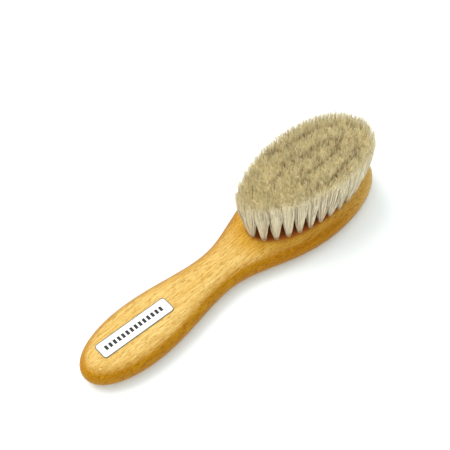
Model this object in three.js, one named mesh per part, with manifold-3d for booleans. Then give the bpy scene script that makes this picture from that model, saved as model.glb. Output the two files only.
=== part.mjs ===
// Clothes brush with an oval head of hair tufts, lying on its back with the hair up.
// Millimetres. +X runs from the handle end to the tip of the head, +Z points out of the hair.
// The origin is under the middle of the brush, on the plane that its back rests on.
import * as THREE from 'three';
import { mergeVertices } from 'three/addons/utils/BufferGeometryUtils.js';
import Module from 'manifold-3d';

// Wooden body, in plan: stations along the axis from the handle end, half widths there, and how
// far the outline's curves reach out before and after each of them.
const BODY_LENGTH = 165;
const HANDLE = { station: 30, halfWidth: 14.4, before: 15, after: 18 };
const NECK = { station: 74, halfWidth: 9.7, before: 14, after: 16 };
const HEAD = { station: 126.5, halfWidth: 21, before: 23, after: 20.5 };
const HANDLE_END_FULLNESS = 9.5; // how far the outline leaves the handle end square to the axis
const HEAD_END_FULLNESS = 14;
const BODY_THICKNESS = 13;
const EDGE_ROLL = 8.4; // how far in from the outline the faces start to roll over
const EDGE_BAND = 0.4; // straight band left at mid thickness
const ROLL_STEPS = 8;
const OUTLINE_STEPS = 13;

// Holes for the tufts.
const HOLE_RADIUS = 1.35;
const HOLE_DEPTH = 7;
const HOLE_SIDES = 12;
const FIT_GAP = 0.3; // kept between a tuft and the wood round it

// Field of tufts: two ovals round one straight row. The taper is the share of its width that an
// oval gains at the head end and loses at the other.
const FIELD_STATION = 127.2; // middle of the field
const ROWS = [
  { name: 'outer', halfLength: 31.3, halfWidth: 15, taper: 0.16, count: 28, widening: 0 },
  { name: 'middle', halfLength: 24, halfWidth: 7.7, taper: 0.06, count: 20, widening: 0.25 },
  { name: 'centre', halfLength: 15, halfWidth: 0, taper: 0, count: 7, widening: 0.25 },
];

// One tuft: a round plug, opening out into a bundle that is wider across its row by the row's
// widening. The sections are at shares of the height, the tip's are below its top.
const HAIR_HEIGHT = 25.2; // above the face, in the middle of the field
const HAIR_DROP = 0.8; // how much lower the hair is at the rim of the field
const SPLAY = { along: 0.07, across: 0.1, toHandle: 1 }; // lean of the tips
const TUFT_SIDES = 10;
const COLLAR = 0.4; // height above the face at which a tuft starts to open
const TUFT_SECTIONS = [
  { share: 0.4, radius: 2.1 },
  { share: 0.75, radius: 2.35 },
];
const TIP_SECTIONS = [
  { below: 1.6, radius: 2.35 },
  { below: 0.5, radius: 1.7 },
];

// Label stuck on the top face of the handle.
const LABEL = { station: 28.1, offset: 0.35, length: 36.7, width: 7.8, corner: 1.5, turn: -3 };
const LABEL_THICKNESS = 0.2;
const LABEL_GAP = 0.1;
const CORNER_STEPS = 6;

const WELD_DISTANCE = 1e-3;
const MATERIALS = {
  wood: new THREE.MeshStandardMaterial({ color: 0xd9a860, roughness: 0.4, metalness: 0 }),
  hair: new THREE.MeshStandardMaterial({ color: 0xcdbb96, roughness: 0.9, metalness: 0 }),
  label: new THREE.MeshStandardMaterial({ color: 0xf4f3ef, roughness: 0.3, metalness: 0 }),
};

const wasm = await Module();
wasm.setup();

// Distance along the axis from the handle end, turned into the frame's x.
const alongAxis = (station) => station - BODY_LENGTH / 2;

function namedMesh(name, geometry, material) {
  const mesh = new THREE.Mesh(geometry, material);
  mesh.name = name;
  return mesh;
}

function weld(geometry) {
  geometry.deleteAttribute('normal');
  geometry.deleteAttribute('uv');
  return mergeVertices(geometry, WELD_DISTANCE);
}

function toManifold(geometry) {
  const welded = weld(geometry.clone());
  const vertProperties = new Float32Array(welded.attributes.position.array);
  const triVerts = new Uint32Array(welded.index.array);
  return new wasm.Manifold(new wasm.Mesh({ numProp: 3, vertProperties, triVerts }));
}

function fromManifold(solid) {
  const { vertProperties, triVerts } = solid.getMesh();
  const geometry = new THREE.BufferGeometry();
  geometry.setAttribute('position', new THREE.Float32BufferAttribute(vertProperties, 3));
  geometry.setIndex(Array.from(triVerts));
  geometry.computeVertexNormals();
  return geometry;
}

// Control points of the outline's curves on one side, from the handle end to the tip.
function sideControls() {
  const widths = [HANDLE, NECK, HEAD].flatMap(({ station, halfWidth, before, after }) =>
    [-before, 0, after].map((reach) => [alongAxis(station) + reach, halfWidth]),
  );
  const [end, tip] = [alongAxis(0), alongAxis(BODY_LENGTH)];
  return [[end, 0], [end, HANDLE_END_FULLNESS], ...widths, [tip, HEAD_END_FULLNESS], [tip, 0]];
}

function bodyOutline() {
  const left = sideControls();
  const right = left.map(([x, y]) => [x, -y]);
  const controls = [...right, ...left.toReversed().slice(1)];
  const shape = new THREE.Shape();
  shape.moveTo(...controls[0]);
  for (let i = 1; i < controls.length; i += 3) {
    shape.bezierCurveTo(...controls[i], ...controls[i + 1], ...controls[i + 2]);
  }
  return shape;
}

// One board with both faces rolled over into its edges.
function bodyBlank() {
  const roll = (BODY_THICKNESS - EDGE_BAND) / 2;
  const geometry = new THREE.ExtrudeGeometry(bodyOutline(), {
    depth: EDGE_BAND,
    steps: 1,
    curveSegments: OUTLINE_STEPS,
    bevelThickness: roll,
    bevelSize: EDGE_ROLL,
    bevelOffset: -EDGE_ROLL,
    bevelSegments: ROLL_STEPS,
  });
  return geometry.translate(0, 0, roll);
}

class Oval extends THREE.Curve {
  constructor({ halfLength, halfWidth, taper }) {
    super();
    Object.assign(this, { halfLength, halfWidth, taper });
  }

  getPoint(share) {
    const turn = 2 * Math.PI * share;
    const halfWidth = this.halfWidth * (1 + this.taper * Math.cos(turn));
    return new THREE.Vector3(this.halfLength * Math.cos(turn), halfWidth * Math.sin(turn), 0);
  }
}

// Evenly spaced points of a row, each with the direction of the row there.
function rowPoints(row) {
  const ends = [-row.halfLength, row.halfLength].map((x) => new THREE.Vector3(x, 0, 0));
  const isOval = row.halfWidth > 0;
  const curve = isOval ? new Oval(row) : new THREE.LineCurve3(...ends);
  const intervals = isOval ? row.count : row.count - 1;
  return Array.from({ length: row.count }, (_, index) => ({
    point: curve.getPointAt(index / intervals),
    direction: curve.getTangentAt(index / intervals),
  }));
}

// Every tuft's name, its root on the face, how it leans and how high it stands.
function tuftPlaces() {
  const [rim] = ROWS;
  return ROWS.flatMap((row) =>
    rowPoints(row).map(({ point: { x, y }, direction }, index) => ({
      name: `hair_tuft_${row.name}_${String(index + 1).padStart(2, '0')}`,
      root: [alongAxis(FIELD_STATION) + x, y],
      lean: [SPLAY.along * x - SPLAY.toHandle, SPLAY.across * y],
      height: HAIR_HEIGHT - HAIR_DROP * ((x / rim.halfLength) ** 2 + (y / rim.halfWidth) ** 2),
      direction,
      widening: row.widening,
    })),
  );
}

function tuftHole({ root }) {
  const cutter = new THREE.CylinderGeometry(HOLE_RADIUS, HOLE_RADIUS, 2 * HOLE_DEPTH, HOLE_SIDES);
  cutter.rotateX(Math.PI / 2);
  return cutter.translate(...root, BODY_THICKNESS);
}

function body(places) {
  const holes = places.map((place) => toManifold(tuftHole(place)));
  const drilled = toManifold(bodyBlank()).subtract(wasm.Manifold.union(holes));
  return namedMesh('wooden_body', fromManifold(drilled), MATERIALS.wood);
}

function tuftProfile(height) {
  const plug = HOLE_RADIUS - FIT_GAP;
  return [
    [0, -HOLE_DEPTH + FIT_GAP],
    [plug, -HOLE_DEPTH + FIT_GAP],
    [plug, COLLAR],
    ...TUFT_SECTIONS.map(({ share, radius }) => [radius, share * height]),
    ...TIP_SECTIONS.map(({ below, radius }) => [radius, height - below]),
    [0, height],
  ].map(([radius, z]) => new THREE.Vector2(radius, z));
}

function tuft({ name, root, lean, height, direction, widening }) {
  const geometry = new THREE.LatheGeometry(tuftProfile(height), TUFT_SIDES);
  geometry.rotateX(Math.PI / 2);
  const position = geometry.attributes.position;
  for (let i = 0; i < position.count; i += 1) {
    const share = Math.max(0, position.getZ(i)) / height;
    const along = position.getX(i);
    const across = position.getY(i) * (1 + widening * share);
    position.setXYZ(
      i,
      root[0] + lean[0] * share + along * direction.x - across * direction.y,
      root[1] + lean[1] * share + along * direction.y + across * direction.x,
      position.getZ(i) + BODY_THICKNESS,
    );
  }
  return namedMesh(name, weld(geometry), MATERIALS.hair);
}

function roundedRectangle({ length, width, corner }) {
  const [halfLength, halfWidth] = [length / 2, width / 2];
  const shape = new THREE.Shape();
  shape.moveTo(-halfLength + corner, -halfWidth);
  shape.absarc(halfLength - corner, -halfWidth + corner, corner, -Math.PI / 2, 0);
  shape.absarc(halfLength - corner, halfWidth - corner, corner, 0, Math.PI / 2);
  shape.absarc(-halfLength + corner, halfWidth - corner, corner, Math.PI / 2, Math.PI);
  shape.absarc(-halfLength + corner, -halfWidth + corner, corner, Math.PI, 1.5 * Math.PI);
  return shape;
}

function label() {
  const geometry = new THREE.ExtrudeGeometry(roundedRectangle(LABEL), {
    depth: LABEL_THICKNESS,
    curveSegments: CORNER_STEPS,
    bevelEnabled: false,
  });
  geometry.rotateZ(THREE.MathUtils.degToRad(LABEL.turn));
  geometry.translate(alongAxis(LABEL.station), LABEL.offset, BODY_THICKNESS + LABEL_GAP);
  return namedMesh('label', weld(geometry), MATERIALS.label);
}

const places = tuftPlaces();
const brush = new THREE.Group();
brush.name = 'clothes_brush';
brush.add(body(places), label(), ...places.map(tuft));

export default brush;
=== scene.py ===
# Clothes brush on its back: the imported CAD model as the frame, with hair, wood and sticker as seen.
# Metres, in the frame of the CAD model: +X from handle end to head tip, +Z out of the hair.
import math

import bpy
import numpy as np
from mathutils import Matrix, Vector


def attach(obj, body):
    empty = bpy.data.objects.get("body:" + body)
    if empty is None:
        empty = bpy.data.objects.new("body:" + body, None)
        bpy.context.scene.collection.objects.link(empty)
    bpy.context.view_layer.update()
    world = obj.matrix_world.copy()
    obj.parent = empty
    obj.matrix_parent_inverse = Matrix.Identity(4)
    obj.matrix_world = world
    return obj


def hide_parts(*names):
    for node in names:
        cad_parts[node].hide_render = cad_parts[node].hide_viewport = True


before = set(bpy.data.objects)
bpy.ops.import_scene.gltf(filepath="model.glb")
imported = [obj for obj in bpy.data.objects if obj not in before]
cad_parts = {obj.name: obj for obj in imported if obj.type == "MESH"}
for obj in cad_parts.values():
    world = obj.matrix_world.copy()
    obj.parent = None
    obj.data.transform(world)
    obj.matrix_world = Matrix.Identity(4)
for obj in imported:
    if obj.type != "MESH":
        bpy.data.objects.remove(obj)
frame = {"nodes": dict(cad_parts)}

MM = 0.001
FACE_HEIGHT = 13 * MM  # the face that the tufts stand on

# Camera, at the photograph's viewing angle.
VIEW_AIM = Vector((15.0 * MM, 18.8 * MM, 0))
VIEW_AZIMUTH = -44.0
VIEW_ELEVATION = 54.2
VIEW_DISTANCE = 662.7 * MM
VIEW_LENS = 120
SENSOR_WIDTH = 36
VIEW_REACH = 10  # metres

# Studio. A light's turn is its azimuth from the camera's, so 180 is behind the object, and its
# width is how broad it looks from the object.
WORLD_COLOR = (0.92, 0.97, 1, 1)
WORLD_STRENGTH = 0.37
LIGHTS = {
    "key": {"turn": -115, "elevation": 58, "width": 45, "energy": 1.8, "color": (1, 0.97, 0.92)},
    "overhead": {"turn": 0, "elevation": 88, "width": 120, "energy": 2.1, "color": (0.91, 0.98, 1)},
    "fill": {"turn": -10, "elevation": 30, "width": 90, "energy": 0.5, "color": (1, 0.98, 0.93)},
}
LIGHT_BOUNCES = 16  # pale hair is lit from strand to strand
FLOOR_SIZE = 6  # metres
FLOOR_GRAIN = 600.0
FLOOR_TONES = [(0.0, (0.90, 0.92, 0.92)), (1.0, (0.92, 0.94, 0.94))]

# CAD surfaces that stay: smooth, but for creases sharper than this angle.
CREASE = 35
WELD_DISTANCE = 0.001 * MM

# Wood: how fine each part of its grain is, along the brush and across it, and its colours. A
# layer covers what is under it as far as its value goes between "from" and "to".
GRAIN = {"streaks": (26, 900), "clouds": (12, 60), "fibres": (150, 1700), "flecks": (380, 2600)}
WOOD_TONES = [(0.34, (0.63, 0.40, 0.11)), (0.50, (0.72, 0.48, 0.155)), (0.66, (0.78, 0.57, 0.23))]
CLOUDS = {"color": (0.55, 0.30, 0.05), "strength": 0.3, "from": 0.35, "to": 0.65}
FIBRES = {"color": (0.52, 0.29, 0.05), "strength": 0.6, "from": 0.35, "to": 0.65}
FLECKS = {"color": (0.36, 0.16, 0.02), "strength": 0.6, "from": 0.55, "to": 0.64}
WOOD_RELIEF = {"strength": 0.08, "distance": 0.2 * MM}
WOOD_ROUGHNESS = {"from": 0.3, "to": 0.7, "low": 0.40, "high": 0.30}

# Painted shade: the wood is darker and deeper amber where the faces roll over into the edges, but not
# at the tip of the head, and darker and warmer round the tufts. A painted reflection of the floor
# makes the underside's rim paler, and painted shade darkens the field of holes between the tufts.
EDGE_SHADE = {"from": 3.4 * MM, "to": 6.45 * MM, "tint": (0.64, 0.44, 0.03)}  # from mid thickness
EDGE_SHADE_ALONG = {"from": 75 * MM, "to": 40 * MM, "at_tip": 0.15}
FLOOR_REFLECTION_RIM = {"color": (0.62, 0.54, 0.38), "strength": 0.5, "from": 5.5 * MM, "to": 3.0 * MM}
FIELD_MIDDLE = (44.7 * MM, 0.0)
FIELD_HALF = (32.0 * MM, 15.8 * MM)
FIELD_SHADE = {"color": (0.30, 0.05, 0.01), "strength": 0.85, "from": 1.15, "to": 0.9}
FIELD_WARM_SHADE = {"from": 2.0, "to": 1.1, "tint": (0.90, 0.76, 0.32)}

# Label: the CAD sticker's place on the handle, the dark line of painted shadow round its edge and the
# bars that stand for print.
LABEL_PLACE = (-54.4 * MM, 0.35 * MM, 0)
LABEL_TURN = math.radians(-3)
LABEL_HALF = {"x": 18.35 * MM, "y": 3.9 * MM}
LABEL_CORNER = 1.5 * MM
LABEL_SHADOW_WIDTH = 0.38 * MM
PRINT_HALF = {"x": 15.4 * MM, "y": 1.15 * MM}
PRINT_PITCH = 2.2 * MM
PRINT_BAR = 1.35 * MM
FILM_GRAIN = 900
FILM_TONES = [(0.3, (0.84, 0.85, 0.84)), (0.7, (0.88, 0.89, 0.88))]
FILM_RELIEF = {"strength": 0.02, "distance": 0.1 * MM}
LABEL_SHADOW_TONE = (0.08, 0.06, 0.03)
LABEL_SHADOW_STRENGTH = 0.9
PRINT_TONE = (0.012, 0.008, 0.008)

# Hair: colours from root to tip, with painted shade at the root, then what darkens a whole hair,
# which also carries painted shade, and the red-brown painted shade of its depths.
HAIR_TONES = [
    # painted shade: the colour at the root is dark
    (0.0, (0.50, 0.24, 0.10)),
    (0.14, (0.86, 0.76, 0.56)),
    (0.70, (0.95, 0.87, 0.65)),
    (0.90, (0.97, 0.90, 0.65)),
    (1.0, (0.97, 0.89, 0.59)),
]
HAIR_TONE_AND_SHADE = {"color": (0.40, 0.27, 0.09), "strength": 0.62, "from": 0.0, "to": 1.0}
HAIR_STREAKS = {"color": (0.92, 0.85, 0.68), "strength": 0.2, "from": 0.4, "to": 0.7}
HAIR_DEPTH_SHADE = {"color": (0.30, 0.11, 0.04), "strength": 0.9, "from": 1.1, "to": 1.9}
HAIR_GRAIN = (2500, 2500, 200)

# Crown of the hair, where its tips end: an oval seen from above, narrower towards the handle. A
# place on it is 0 in its middle and 1 on its rim.
CROWN_MIDDLE = np.array([43.1, -0.7]) * MM
CROWN_HALF = np.array([36.0, 18.4]) * MM
CROWN_TURN = math.radians(-4.2)  # of its long axis, on the body
CROWN_TAPER = 0.18
CROWN_MARGIN = 1.25  # how much wider than the crown the tips are first scattered
CROWN_TOP = 39.4 * MM
CROWN_DROP = 0.6 * MM  # how much lower the rim is
RIM_ROUNDING = {"from": 0.88, "drop": 0.8 * MM, "limit": 1.5}
CROWN_WAVES = 9  # gentle waves that make the crown uneven
WAVE_LENGTHS = (2.6 * MM, 8.0 * MM)
WAVE_HEIGHT = 0.6 * MM
PARTINGS = np.array([[29.0, 12.8], [22.0, 4.3]]) * MM  # half sizes of the ovals where hair parts
PARTING_DEPTH = 3.4 * MM
PARTING_WIDTH = 1.15 * MM
# painted shade darkens the hair in the partings
PARTING_SHADE = 1.1
PARTING_WAVE = {"height": 0.6 * MM, "length": 3 * MM}
PARTING_FADES = [(-12 * MM, -2 * MM), (27 * MM, 16 * MM)]  # no parting at either end
PARTING_BREAKS = {"level": 0.75, "waves": 0.35}

# Strands: a tuft's hairs run from its root to tips scattered over its cell of the crown.
STRAND_SPACING = 0.31 * MM
STRAND_RADIUS = 0.1 * MM
STRAND_TAPER = {"loss": 0.6, "power": 4}
STRAND_SIDES = 3
LONG_STEPS = 8
SHORT_STEPS = 4
LONG_FROM = 1.6 * MM  # from the tuft's middle: hairs nearer to it are hidden but for their tips
LONG_PLACE = 0.72  # and so are those further in on the crown
RIM_PLACE = 0.8  # but hairs further out than this are always seen whole
SHORT_FROM = 0.74  # share of the height where a strand inside a tuft comes into sight
ROOT_RADIUS = 0.75 * MM
ROOT_SINK = 1.5 * MM  # how deep in its hole a strand starts
CELL_RADIUS = 3.1 * MM  # reach of a tuft's tip round its own middle
OPEN_BY = 0.62  # share of the height by which a tuft is fully open
LENGTH_SPREAD = 0.7 * MM
WANDER = 0.14 * MM
BEND_FROM = 0.5  # share of the height where a tip starts to lean over
TIP_BEND = 0.2 * MM
STRAY_SHARE = 0.6  # of the hairs at the rim that stand out from it
STRAY_REACH = 1.1 * MM
STRAY_RIM = (0.85, 1.0)
HAIR_SEED = 41
HEIGHT_SEED, TONE_SEED, PARTING_SEED = 5, 8, 9

# Locks: how many hairs stick together, how much their tones differ, how much paler they are.
TOP_LOCK = {"hairs": 6, "spread": 1.0, "paler": 0.75}
SIDE_LOCK = {"hairs": 7, "spread": 0.65, "paler": 0.32}
LOCK_PULL = 0.5  # how far they are drawn together
PULL_BY = 0.5  # share of the height by which they are
LOCK_HEIGHT = 1.0 * MM  # spread of the heights of locks below the crown
LOCK_BEND = 0.3 * MM
LOCK_CALM = {"share": 0.9, "rim": (0.80, 0.95)}  # locks differ less at the rim

# Tones: 0 is a pale hair, 1 a dark one, and more than that is red-brown painted shade.
HAIR_TONE = {"most": 0.4, "power": 1.5, "waves": 0.3}
PALER_RIM = (0.84, 1.0)
RIM_TIP_FADE = 0.75  # how much of its tone a rim hair loses at its tip
TIP_FADE = (0.75, 0.95)
BEIGE_FROM = 0.7  # share of the height above which hair turns beige
RIM_PALENESS = 0.75  # how much less so on the rim
INNER_PLACE = 0.7  # tufts nearer the middle get painted shade low down, seen between the outer ones
INNER_SHADE = 1.0
INNER_SHADE_FADE = (0.3, 0.9)

# Cores: the solid middles of the tufts, under their strands, darker than the hair as painted shade
# between the strands.
STUB = [(1.27 * MM, 11.0 * MM), (1.27 * MM, 12.9 * MM), (0.01 * MM, 12.9 * MM)]  # fills the hole
CORE_SIDES = 40
CORE_RINGS = 10
CORE_SHRINK = 0.55
CORE_SHADE_TONES = {"spread": (0.4, 0.9), "rim": 0.35, "inner": 1.3}  # the last two add more painted shade low down
CORE_SHADE_FADE = (0.25, 0.8)
CORE_LIMIT = 0.93  # the cores end that far out in the crown
CORE_SINK = 4.2 * MM  # how far under the tips the core of a tuft ends
CORE_FLUTING = 0.05
CAP_SCALES = np.array([1.12, 0.85, 0.6, 0.3, 0.01])  # rings of a core's top, as shares of its cell
CAP_CURVE = 0.3 * MM
CELL_SCAN = {"from": 0.5 * MM, "to": 6 * MM, "steps": 56}  # where a cell's edge is looked for
FOOT_SLICE = 0.1 * MM  # how much of a CAD tuft's foot gives its root


def place_on_circle(azimuth, elevation, distance):
    """A point that far from the origin, with azimuth 0 on the -Y side and 90 on the +X side."""
    turn, rise = math.radians(azimuth), math.radians(elevation)
    flat = distance * math.cos(rise)
    return Vector((flat * math.sin(turn), -flat * math.cos(turn), distance * math.sin(rise)))


def add_aimed(name, data, azimuth, elevation, distance):
    """A camera or light that stands off from the view's aim and looks at it."""
    item = bpy.data.objects.new(name, data)
    item.location = VIEW_AIM + place_on_circle(azimuth, elevation, distance)
    item.rotation_euler = (VIEW_AIM - item.location).to_track_quat("-Z", "Y").to_euler()
    bpy.context.collection.objects.link(item)
    return item


def add_camera():
    data = bpy.data.cameras.new("camera")
    data.lens = VIEW_LENS
    data.sensor_width = SENSOR_WIDTH
    data.clip_end = VIEW_REACH
    camera = add_aimed("camera", data, VIEW_AZIMUTH, VIEW_ELEVATION, VIEW_DISTANCE)
    bpy.context.scene.camera = camera


def add_light(name, light):
    """A broad far light."""
    data = bpy.data.lights.new(name, "SUN")
    data.angle = math.radians(light["width"])
    data.energy = light["energy"]
    data.color = light["color"]
    add_aimed(name, data, VIEW_AZIMUTH + light["turn"], light["elevation"], distance=1)


def add_floor():
    bpy.ops.mesh.primitive_plane_add(size=FLOOR_SIZE)
    floor = bpy.context.object
    floor.name = "floor"
    floor.data.materials.append(floor_material())


def add_studio():
    scene = bpy.context.scene
    scene.view_settings.view_transform = "Standard"
    scene.world = bpy.data.worlds.new("studio")
    scene.world.use_nodes = True
    background = scene.world.node_tree.nodes["Background"]
    background.inputs["Color"].default_value = WORLD_COLOR
    background.inputs["Strength"].default_value = WORLD_STRENGTH
    for name, light in LIGHTS.items():
        add_light(name, light)
    scene.cycles.max_bounces = LIGHT_BOUNCES
    scene.cycles.diffuse_bounces = LIGHT_BOUNCES
    scene.cycles.denoising_prefilter = "NONE"  # keeps single hairs
    add_floor()


class Nodes:
    """Short calls for one material's node tree."""

    def __init__(self, name):
        self.material = bpy.data.materials.new(name)
        self.material.use_nodes = True
        self.tree = self.material.node_tree
        self.shader = self.tree.nodes["Principled BSDF"]

    def add(self, kind, inputs=None, **settings):
        node = self.tree.nodes.new("ShaderNode" + kind)
        for key, value in settings.items():
            setattr(node, key, value)
        for key, value in (inputs or {}).items():
            self.put(node.inputs[key], value)
        return node

    def put(self, socket, value):
        if isinstance(value, bpy.types.NodeSocket):
            self.tree.links.new(value, socket)
        else:
            socket.default_value = value

    def coords(self, scale=(1, 1, 1)):
        source = self.add("TexCoord").outputs["Object"]
        return self.add("Mapping", {"Vector": source, "Scale": scale}).outputs["Vector"]

    def noise(self, vector, scale=1.0, detail=2.0, roughness=0.5):
        inputs = {"Vector": vector, "Scale": scale, "Detail": detail, "Roughness": roughness}
        return self.add("TexNoise", inputs).outputs["Fac"]

    def math(self, operation, a, b=0.0):
        return self.add("Math", {0: a, 1: b}, operation=operation).outputs[0]

    def remap(self, value, low, high, to_low=0.0, to_high=1.0, smooth=True):
        return self.add(
            "MapRange",
            {"Value": value, "From Min": low, "From Max": high, "To Min": to_low, "To Max": to_high},
            interpolation_type="SMOOTHSTEP" if smooth else "LINEAR",
        ).outputs["Result"]

    def ramp(self, value, stops):
        node = self.add("ValToRGB", {"Fac": value})
        elements = node.color_ramp.elements
        while len(elements) < len(stops):
            elements.new(0.5)
        for element, (position, color) in zip(elements, stops):
            element.position = position
            element.color = (*color, 1)
        return node.outputs["Color"]

    def mix(self, factor, a, b, blend="MIX"):
        """The Mix node's sockets for colours go by number, because their names repeat."""
        node = self.add("Mix", data_type="RGBA", blend_type=blend)
        for index, value in ((0, factor), (6, a), (7, b)):
            self.put(node.inputs[index], (*value, 1) if isinstance(value, tuple) else value)
        return node.outputs[2]

    def tint(self, color, by):
        return self.mix(1.0, color, by, "MULTIPLY")

    def layer(self, value, look, under, smooth=True):
        """The colour under it, covered with the layer's own as far as the value says."""
        cover = self.remap(value, look["from"], look["to"], 0.0, look["strength"], smooth)
        return self.mix(cover, under, look["color"])

    def bump(self, height, relief):
        inputs = {"Height": height, "Strength": relief["strength"], "Distance": relief["distance"]}
        return self.add("Bump", inputs).outputs["Normal"]

    def finish(self, **inputs):
        for key, value in inputs.items():
            self.put(self.shader.inputs[key.replace("_", " ")], value)
        return self.material


def floor_material():
    nodes = Nodes("floor")
    color = nodes.ramp(nodes.noise(nodes.coords(), FLOOR_GRAIN), FLOOR_TONES)
    return nodes.finish(Base_Color=color, Roughness=0.9)


def wood_grain(nodes, kind, detail, roughness=0.5):
    along, across = GRAIN[kind]
    return nodes.noise(nodes.coords((along, across, across)), 1.0, detail, roughness)


def field_distance(nodes, place):
    """Below 1 inside the oval of the holes, and more than 1 outside it."""
    squares = []
    for key, middle, half in zip("XY", FIELD_MIDDLE, FIELD_HALF):
        share = nodes.math("DIVIDE", nodes.math("SUBTRACT", place[key], middle), half)
        squares.append(nodes.math("POWER", share, 2.0))
    return nodes.math("ADD", *squares)


def with_painted_light(nodes, bare):
    """The bare wood's colour with painted shade, darker and deeper amber on the edges and darker
    round and between the tufts, and a painted floor reflection on the underside's rim.
    """
    place = nodes.add("SeparateXYZ", {"Vector": nodes.coords()}).outputs
    off_middle = nodes.math("ABSOLUTE", nodes.math("SUBTRACT", place["Z"], FACE_HEIGHT / 2))
    # painted shade: darker, deeper amber where the faces roll into the edges, fading towards the head
    # tip
    edge = nodes.remap(off_middle, EDGE_SHADE["to"], EDGE_SHADE["from"])
    along = nodes.remap(place["X"], EDGE_SHADE_ALONG["from"], EDGE_SHADE_ALONG["to"], EDGE_SHADE_ALONG["at_tip"])
    shaded_amber = nodes.tint(bare, EDGE_SHADE["tint"])
    edge_shaded = nodes.mix(nodes.math("MULTIPLY", edge, along), bare, shaded_amber)
    away = field_distance(nodes, place)
    # painted shade, darker and warmer, on the wood round the tufts
    tuft_shade = nodes.math("MULTIPLY", nodes.remap(away, FIELD_WARM_SHADE["from"], FIELD_WARM_SHADE["to"]), along)
    warm_shaded = nodes.mix(tuft_shade, edge_shaded, nodes.tint(edge_shaded, FIELD_WARM_SHADE["tint"]))
    # painted shade: dark red-brown wood between the tufts in the field of holes
    field_shaded = nodes.layer(away, FIELD_SHADE, warm_shaded)
    # painted reflection of the floor: paler colour on the underside's rim
    return nodes.layer(place["Z"], FLOOR_REFLECTION_RIM, field_shaded)


def wood_material():
    """Lacquered beech: fine straight grain along the brush, with short darker ray flecks."""
    nodes = Nodes("beech_wood")
    streaks = wood_grain(nodes, "streaks", 4.0, 0.6)
    fibres = wood_grain(nodes, "fibres", 2.0)
    flecks = wood_grain(nodes, "flecks", 1.0)
    clouded = nodes.layer(wood_grain(nodes, "clouds", 2.0), CLOUDS, nodes.ramp(streaks, WOOD_TONES))
    bare = nodes.layer(flecks, FLECKS, nodes.layer(fibres, FIBRES, clouded))
    return nodes.finish(
        Base_Color=with_painted_light(nodes, bare),
        Roughness=nodes.remap(streaks, *WOOD_ROUGHNESS.values()),
        Normal=nodes.bump(nodes.math("ADD", fibres, flecks), WOOD_RELIEF),
        Coat_Weight=0.03,
        Coat_Roughness=0.15,
        IOR=1.45,
        Specular_IOR_Level=0.08,
    )


def hair_material():
    """Goat hair, coloured by two values that its mesh carries: along the hair, and its tone, which
    also carries painted shade on the cores, in the partings and between the tufts.
    """
    nodes = Nodes("goat_hair")
    along = nodes.add("Attribute", attribute_name="along").outputs["Fac"]
    shade = nodes.add("Attribute", attribute_name="shade").outputs["Fac"]
    varied = nodes.layer(shade, HAIR_TONE_AND_SHADE, nodes.ramp(along, HAIR_TONES), smooth=False)
    streaked = nodes.layer(nodes.noise(nodes.coords(HAIR_GRAIN)), HAIR_STREAKS, varied)
    # red-brown painted shade in the depths
    depth_shaded = nodes.layer(shade, HAIR_DEPTH_SHADE, streaked, smooth=False)
    return nodes.finish(Base_Color=depth_shaded, Roughness=0.6, IOR=1.5, Specular_IOR_Level=0.3)


def label_ways(nodes):
    """Distances along and across the label, from its middle."""
    inputs = {
        "Vector": nodes.add("TexCoord").outputs["Object"],
        "Location": LABEL_PLACE,
        "Rotation": (0, 0, LABEL_TURN),
    }
    local = nodes.add("Mapping", inputs, vector_type="TEXTURE").outputs["Vector"]
    place = nodes.add("SeparateXYZ", {"Vector": local}).outputs
    return {"x": place["X"], "y": place["Y"]}


def label_edge_shadow(nodes, away):
    """1 on the painted shadow line along the label's edge and round its corners."""
    squares = []
    for key, half in LABEL_HALF.items():
        past = nodes.math("SUBTRACT", away[key], half - LABEL_CORNER)
        squares.append(nodes.math("POWER", nodes.math("MAXIMUM", past, 0.0), 2.0))
    corner = nodes.math("SQRT", nodes.math("ADD", *squares))
    return nodes.math("GREATER_THAN", corner, LABEL_CORNER - LABEL_SHADOW_WIDTH)


def label_bars(nodes, ways, away):
    """1 on the row of bars that stands for the print."""
    step = nodes.math("FLOORED_MODULO", ways["x"], PRINT_PITCH)
    bars = nodes.math("LESS_THAN", step, PRINT_BAR)
    for key, half in PRINT_HALF.items():
        bars = nodes.math("MULTIPLY", bars, nodes.math("LESS_THAN", away[key], half))
    return bars


def label_material():
    """White film with a thin dark line of painted shadow round its edge and one row of plain dark
    bars for its print.
    """
    nodes = Nodes("label_film")
    ways = label_ways(nodes)
    away = {key: nodes.math("ABSOLUTE", value) for key, value in ways.items()}
    fibre = nodes.noise(nodes.coords((FILM_GRAIN, FILM_GRAIN, FILM_GRAIN)))
    # painted shadow of the sticker's edge, as a dark line round it
    edge_shadow = nodes.math("MULTIPLY", label_edge_shadow(nodes, away), LABEL_SHADOW_STRENGTH)
    edge_shadowed = nodes.mix(edge_shadow, nodes.ramp(fibre, FILM_TONES), LABEL_SHADOW_TONE)
    color = nodes.mix(label_bars(nodes, ways, away), edge_shadowed, PRINT_TONE)
    return nodes.finish(Base_Color=color, Roughness=0.25, Normal=nodes.bump(fibre, FILM_RELIEF))


def smooth_cad_node(node, material):
    """New material and smooth shading on a CAD node; its own vertices stay as they are."""
    node.data.materials.clear()
    node.data.materials.append(material)
    node.data.polygons.foreach_set("use_smooth", [True] * len(node.data.polygons))
    weld = node.modifiers.new("weld", "WELD")
    weld.merge_threshold = WELD_DISTANCE
    split = node.modifiers.new("creases", "EDGE_SPLIT")
    split.split_angle = math.radians(CREASE)


def tuft_axis(node):
    """Where a CAD tuft leaves the face, and its tip."""
    points = np.array([vertex.co for vertex in node.data.vertices])
    foot = points[points[:, 2] < points[:, 2].min() + FOOT_SLICE]
    root = np.array([*foot[:, :2].mean(axis=0), FACE_HEIGHT])
    return root, points[points[:, 2].argmax()]


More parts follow.
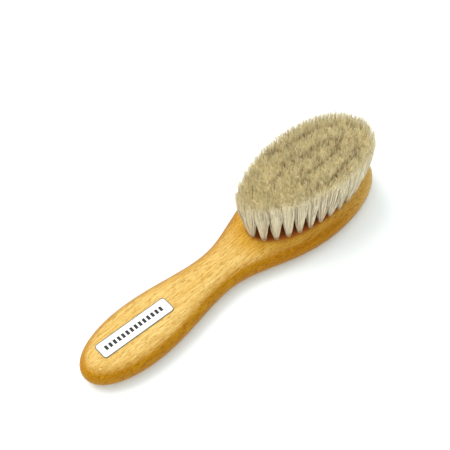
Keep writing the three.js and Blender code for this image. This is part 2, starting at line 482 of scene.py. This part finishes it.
def smooth_step(value, low, high):
    share = np.clip((value - low) / (high - low), 0, 1)
    return share * share * (3 - 2 * share)


def crown_coords(points):
    """Points of the plan, measured along and across the crown from its middle."""
    x, y = (points[..., :2] - CROWN_MIDDLE).transpose(-1, *range(points.ndim - 1))
    turn = (math.cos(CROWN_TURN), math.sin(CROWN_TURN))
    return x * turn[0] + y * turn[1], y * turn[0] - x * turn[1]


def crown_place(points):
    """How far from the middle of the crown each point is: 0 in the middle, 1 on the rim."""
    along, across = crown_coords(points)
    along = along / CROWN_HALF[0]
    return np.hypot(along, across / (CROWN_HALF[1] * (1 + CROWN_TAPER * along)))


def keep_inside(points, limit):
    """The points, drawn in to that share of the crown where they lie beyond it."""
    excess = np.maximum(crown_place(points)[..., None] / limit, 1)
    return CROWN_MIDDLE + (points - CROWN_MIDDLE) / excess


def waves(points, seed):
    """A smooth random field over the crown, about -1 to 1."""
    rng = np.random.default_rng(seed)
    lengths = rng.uniform(*WAVE_LENGTHS, CROWN_WAVES)
    turns = rng.uniform(0, 2 * math.pi, CROWN_WAVES)
    ways = np.stack([np.cos(turns), np.sin(turns)]) * 2 * math.pi / lengths
    phases = rng.uniform(0, 2 * math.pi, CROWN_WAVES)
    return np.cos(points[..., :2] @ ways + phases).sum(axis=-1) / math.sqrt(CROWN_WAVES)


def parting_share(points):
    """1 on a parting of the crown, 0 away from them all."""
    along, across = crown_coords(points)
    across = across + PARTING_WAVE["height"] * np.sin(along / PARTING_WAVE["length"])
    off_line = [
        (np.hypot(along / half[0], across / half[1]) - 1) * half[1] / PARTING_WIDTH
        for half in PARTINGS
    ]
    nearness = np.exp(-np.square(off_line)).max(axis=0)
    fade = np.prod([smooth_step(along, *ends) for ends in PARTING_FADES], axis=0)
    broken = PARTING_BREAKS["level"] + PARTING_BREAKS["waves"] * waves(points, PARTING_SEED)
    return nearness * fade * np.clip(broken, 0, 1)


def crown_height(points):
    place = crown_place(points)
    past = (place - RIM_ROUNDING["from"]) / (1 - RIM_ROUNDING["from"])
    rounding = np.clip(past, 0, RIM_ROUNDING["limit"])
    height = CROWN_TOP - CROWN_DROP * place ** 2 - RIM_ROUNDING["drop"] * rounding ** 2
    uneven = WAVE_HEIGHT * waves(points, HEIGHT_SEED)
    return height + uneven - PARTING_DEPTH * parting_share(points)


def crown_points(rng):
    """Hair tips, evenly scattered over the crown."""
    reach = CROWN_MARGIN * CROWN_HALF
    x, y = (np.arange(-half, half, STRAND_SPACING) for half in reach)
    points = np.stack(np.meshgrid(x, y), axis=-1).reshape(-1, 2) + CROWN_MIDDLE
    points = points + rng.uniform(-0.5, 0.5, points.shape) * STRAND_SPACING
    return points[crown_place(points) < 1]


class Locks:
    """Hairs of one tuft that stick together: each hair's draw to the middle of its lock, and the
    lean, height and tone that it shares with the others."""

    def __init__(self, rng, tips, kind):
        heads = rng.choice(len(tips), math.ceil(len(tips) / kind["hairs"]), replace=False)
        owner = np.linalg.norm(tips[:, None] - tips[heads], axis=2).argmin(axis=1)
        draws = rng.normal(0, 1, (len(heads), 4))[owner]
        freedom = 1 - LOCK_CALM["share"] * smooth_step(crown_place(tips), *LOCK_CALM["rim"])
        self.pull = LOCK_PULL * (tips[heads][owner] - tips)
        self.lean = LOCK_BEND * draws[:, :2] * freedom[:, None]
        self.height = -LOCK_HEIGHT * np.abs(draws[:, 2]) * freedom
        self.tone = kind["spread"] * draws[:, 3] - kind["paler"]


def tip_bends(rng, tips, locks):
    """How far each hair's tip leans over: with its lock, by itself, and out of the rim."""
    alone = rng.normal(0, TIP_BEND, tips.shape)
    out = tips - CROWN_MIDDLE
    out = out / np.linalg.norm(out, axis=1, keepdims=True)
    strays = rng.uniform(0, 1, len(tips)) < STRAY_SHARE
    reach = rng.uniform(0, STRAY_REACH, len(tips)) * strays
    reach = reach * smooth_step(crown_place(tips), *STRAY_RIM)
    return locks.lean + alone + out * reach[:, None]


def opening(share):
    """How far a tuft has opened at each share of its height."""
    return np.minimum(share / OPEN_BY, 1)


def strand_starts(offset):
    """Where hairs leave a tuft's root, the further out the further their tips are."""
    length = np.linalg.norm(offset, axis=1, keepdims=True)
    return offset / np.maximum(length / CELL_RADIUS, 1) * ROOT_RADIUS / CELL_RADIUS


def strand_paths(rng, root, middle, tips, locks, share):
    """Points along strands from a tuft's root to their tips, as strands x steps x 3."""
    count = len(tips)
    offset = tips - middle
    start = strand_starts(offset)
    lean = (middle - root[:2]) * share[:, None]
    across = root[:2] + lean + start[:, None] + (offset - start)[:, None] * opening(share)[:, None]
    wander = rng.normal(0, WANDER, (count, 1, 2)) * np.sin(share * math.pi * 2)[:, None]
    bent = smooth_step(share, BEND_FROM, 1.0)[:, None] ** 2
    bend = tip_bends(rng, tips, locks)[:, None] * bent
    drawn = locks.pull[:, None] * smooth_step(share, 0.0, PULL_BY)[:, None]
    top = crown_height(tips) + locks.height - np.abs(rng.normal(0, LENGTH_SPREAD, count))
    low = FACE_HEIGHT - ROOT_SINK
    up = low + share * (top - low)[:, None]
    return np.concatenate([across + wander + drawn + bend, up[..., None]], axis=2)


def strand_tubes(rng, paths, share):
    """Rings of points round the paths, as strands x steps x sides x 3."""
    around = np.linspace(0, 2 * math.pi, STRAND_SIDES, endpoint=False)
    turn = rng.uniform(0, 2 * math.pi, (len(paths), 1)) + around
    ring = np.stack([np.cos(turn), np.sin(turn), np.zeros_like(turn)], axis=2)
    radius = STRAND_RADIUS * (1 - STRAND_TAPER["loss"] * share ** STRAND_TAPER["power"])
    return paths[:, :, None] + ring[:, None] * radius[None, :, None, None]


def strand_tones(rng, middle, tips, locks, share):
    """Tones of the strands at each step, with painted shade in the partings and low down in the inner
    tufts.
    """
    own = HAIR_TONE["most"] * rng.uniform(0, 1, len(tips)) ** HAIR_TONE["power"]
    tone = own + HAIR_TONE["waves"] * waves(tips, TONE_SEED) + locks.tone
    tone = np.minimum(tone, 1) + PARTING_SHADE * np.sqrt(parting_share(tips))
    rim = smooth_step(crown_place(tips), *PALER_RIM)[:, None]
    tone = tone[:, None] * (1 - RIM_TIP_FADE * rim * smooth_step(share, *TIP_FADE))
    is_inner = crown_place(middle) < INNER_PLACE
    return tone + INNER_SHADE * (1 - smooth_step(share, *INNER_SHADE_FADE)) * is_inner


def seen_shares(tips, share):
    """Shares of the height that colour the strands: the rim's tips are less beige."""
    beige = 1 - RIM_PALENESS * smooth_step(crown_place(tips), *PALER_RIM)
    above = np.maximum(share - BEIGE_FROM, 0)
    return np.minimum(share, BEIGE_FROM) + above * beige[:, None]


def strand_group(rng, root, middle, tips, share, kind):
    """Strands of one kind as tubes, with their shares and tones."""
    locks = Locks(rng, tips, kind)
    paths = strand_paths(rng, root, middle, tips, locks, share)
    tones = strand_tones(rng, middle, tips, locks, share)
    return strand_tubes(rng, paths, share), seen_shares(tips, share), tones[..., None]


def cell_reach(middle, middles):
    """How far a tuft's cell reaches from its middle in each direction before another begins."""
    turn = np.linspace(0, 2 * math.pi, CORE_SIDES, endpoint=False)
    ways = np.stack([np.cos(turn), np.sin(turn)], axis=1)
    radii = np.linspace(*CELL_SCAN.values())
    points = middle + ways[:, None] * radii[None, :, None]
    gaps = np.linalg.norm(points[:, :, None] - middles, axis=3)
    own = np.linalg.norm(middles - middle, axis=1).argmin()
    inside = (gaps.argmin(axis=2) == own) & (crown_place(points) < 1)
    return ways, inside.cumprod(axis=1).mean(axis=1) * CELL_SCAN["to"]


def stub_points(root, ways):
    """Rings of the plug that fills a tuft's hole."""
    rings = [
        np.column_stack([root[:2] + ways * radius, np.full(CORE_SIDES, height)])
        for radius, height in STUB
    ]
    return np.stack(rings)


def core_points(rng, root, middle, middles):
    """Fluted solid middle of a tuft, as rings x sides x 3, and each ring's share of the height."""
    ways, reach = cell_reach(middle, middles)
    fluting = 1 + rng.normal(0, CORE_FLUTING, CORE_SIDES)
    share = np.linspace(0, 1, CORE_RINGS)
    grown = ROOT_RADIUS + (reach - ROOT_RADIUS) * opening(share)[:, None]
    side = grown[..., None] * ways * fluting[:, None] * CORE_SHRINK
    centre = root[:2] + (middle - root[:2]) * share[:, None]
    cap = reach[:, None] * ways * CAP_SCALES[:, None, None]
    across = keep_inside(np.concatenate([side + centre[:, None], cap + middle]), CORE_LIMIT)
    low = FACE_HEIGHT - ROOT_SINK
    rise = crown_height(middle + side[-1]) - CORE_SINK - low
    cap_drop = CORE_SINK + CAP_CURVE * CAP_SCALES[:, None] ** 2
    cap_up = crown_height(across[CORE_RINGS:]) - cap_drop
    up = np.concatenate([low + share[:, None] * rise, cap_up])
    rings = np.concatenate([across, up[..., None]], axis=2)
    shares = np.concatenate([np.zeros(len(STUB)), share, np.ones(len(CAP_SCALES))])
    return np.concatenate([stub_points(root, ways), rings]), shares


def core_shade_tones(rng, middle, share):
    # painted shade: cores are darker than their hair, more so low down
    kind = "inner" if crown_place(middle) < INNER_PLACE else "rim"
    deep = CORE_SHADE_TONES[kind] * (1 - smooth_step(share, *CORE_SHADE_FADE))[:, None]
    return rng.uniform(*CORE_SHADE_TONES["spread"], (1, 1, CORE_SIDES)) + deep


def grid_faces(count, steps, sides, first):
    """Quads of tubes whose points come as tubes x steps x sides, numbered from first."""
    tube = np.arange(count)[:, None, None] * steps * sides
    step = np.arange(steps - 1)[None, :, None] * sides
    side = np.arange(sides)[None, None, :]
    low, low_next = tube + step + side, tube + step + (side + 1) % sides
    quads = np.stack([low, low_next, low_next + sides, low + sides], axis=3)
    return quads.reshape(-1, 4) + first


def hair_mesh(name, parts):
    """One mesh from groups of tubes, each with its points, its shares and its tubes' tones."""
    points, faces, shares, tones, first = [], [], [], [], 0
    for tubes, share, tone in parts:
        count, steps, sides = tubes.shape[:3]
        points.append(tubes.reshape(-1, 3))
        faces.append(grid_faces(count, steps, sides, first))
        shares.append(np.repeat(np.broadcast_to(share, (count, steps)).reshape(-1), sides))
        tones.append(np.broadcast_to(tone, (count, steps, sides)).reshape(-1))
        first += count * steps * sides
    mesh = bpy.data.meshes.new(name)
    mesh.from_pydata(np.concatenate(points), [], np.concatenate(faces).tolist())
    for key, values in (("along", shares), ("shade", tones)):
        layer = mesh.attributes.new(key, "FLOAT", "POINT")
        layer.data.foreach_set("value", np.concatenate(values).astype(np.float32))
    mesh.polygons.foreach_set("use_smooth", [True] * len(mesh.polygons))
    return mesh


def tuft_mesh(rng, name, root, middle, middles, tips):
    place = crown_place(tips)
    outer = (np.linalg.norm(tips - middle, axis=1) > LONG_FROM) & (place > LONG_PLACE)
    outer |= place > RIM_PLACE
    core, core_share = core_points(rng, root, middle, middles)
    parts = [(core[None], core_share, core_shade_tones(rng, middle, core_share))]
    groups = [
        (tips[outer], np.linspace(0, 1, LONG_STEPS), SIDE_LOCK),
        (tips[~outer], np.linspace(SHORT_FROM, 1, SHORT_STEPS), TOP_LOCK),
    ]
    for group_tips, share, kind in groups:
        if len(group_tips) > 0:
            parts.append(strand_group(rng, root, middle, group_tips, share, kind))
    return hair_mesh(name, parts)


def add_hair(nodes, material):
    """A tuft of hair for each of the CAD's, on the same root, in its own cell of the crown."""
    rng = np.random.default_rng(HAIR_SEED)
    names = sorted(name for name in nodes if name.startswith("hair_tuft"))
    axes = [tuft_axis(nodes[name]) for name in names]
    middles = np.array([tip[:2] for _, tip in axes])
    tips = crown_points(rng)
    owner = np.linalg.norm(tips[:, None] - middles, axis=2).argmin(axis=1)
    for index, (name, (root, _)) in enumerate(zip(names, axes)):
        own_tips = tips[owner == index]
        mesh = tuft_mesh(rng, name + "_hair", root, middles[index], middles, own_tips)
        mesh.materials.append(material)
        piece = bpy.data.objects.new(name + "_hair", mesh)
        bpy.context.collection.objects.link(piece)
        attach(piece, "root")
        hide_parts(name)


def main():
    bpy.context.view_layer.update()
    add_camera()
    add_studio()
    nodes = frame["nodes"]
    smooth_cad_node(nodes["wooden_body"], wood_material())
    smooth_cad_node(nodes["label"], label_material())
    add_hair(nodes, hair_material())


main()
